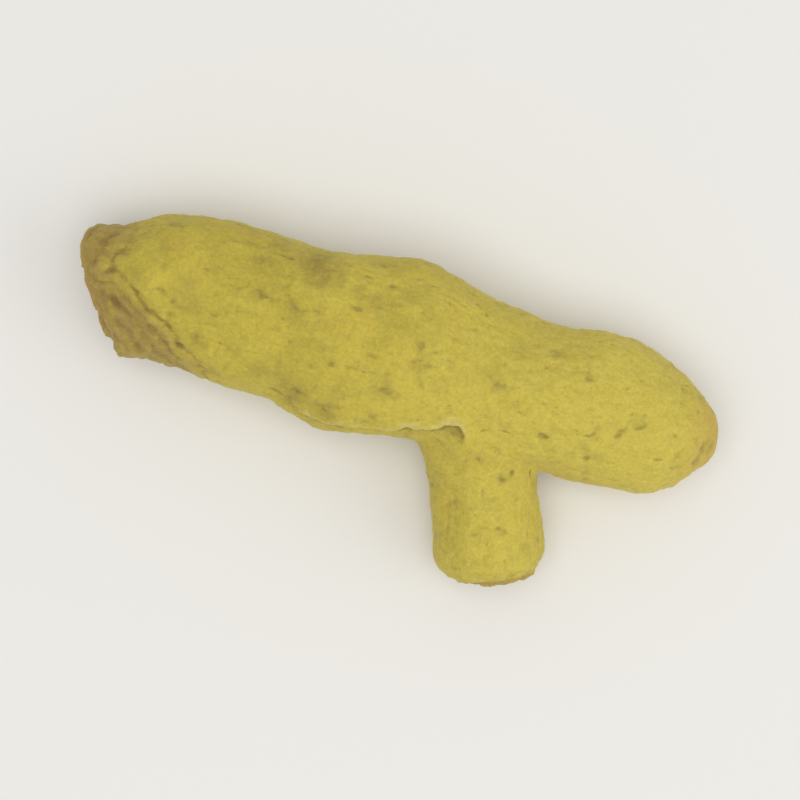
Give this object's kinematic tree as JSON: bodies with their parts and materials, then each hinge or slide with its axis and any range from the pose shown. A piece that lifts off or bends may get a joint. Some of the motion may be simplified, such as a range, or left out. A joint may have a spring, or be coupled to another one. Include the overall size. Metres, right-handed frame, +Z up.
{
  "type": "turmeric root",
  "caption": "Dried, polished turmeric finger with a slanted broken base, a blunt tip and a short side shoot, lying on its belly.",
  "frame": {"origin": "middle of the finger's box, on the surface that the finger lies on", "axes": "+Z up, +X along the finger from its broken base to its tip, -Y towards the side shoot"},
  "size_m": [0.0562, 0.0258, 0.0147],
  "materials": {
    "turmeric_skin": "matte"
  },
  "bodies": {
    "root": {"turmeric_finger": "turmeric_skin"}
  },
  "joints": []
}
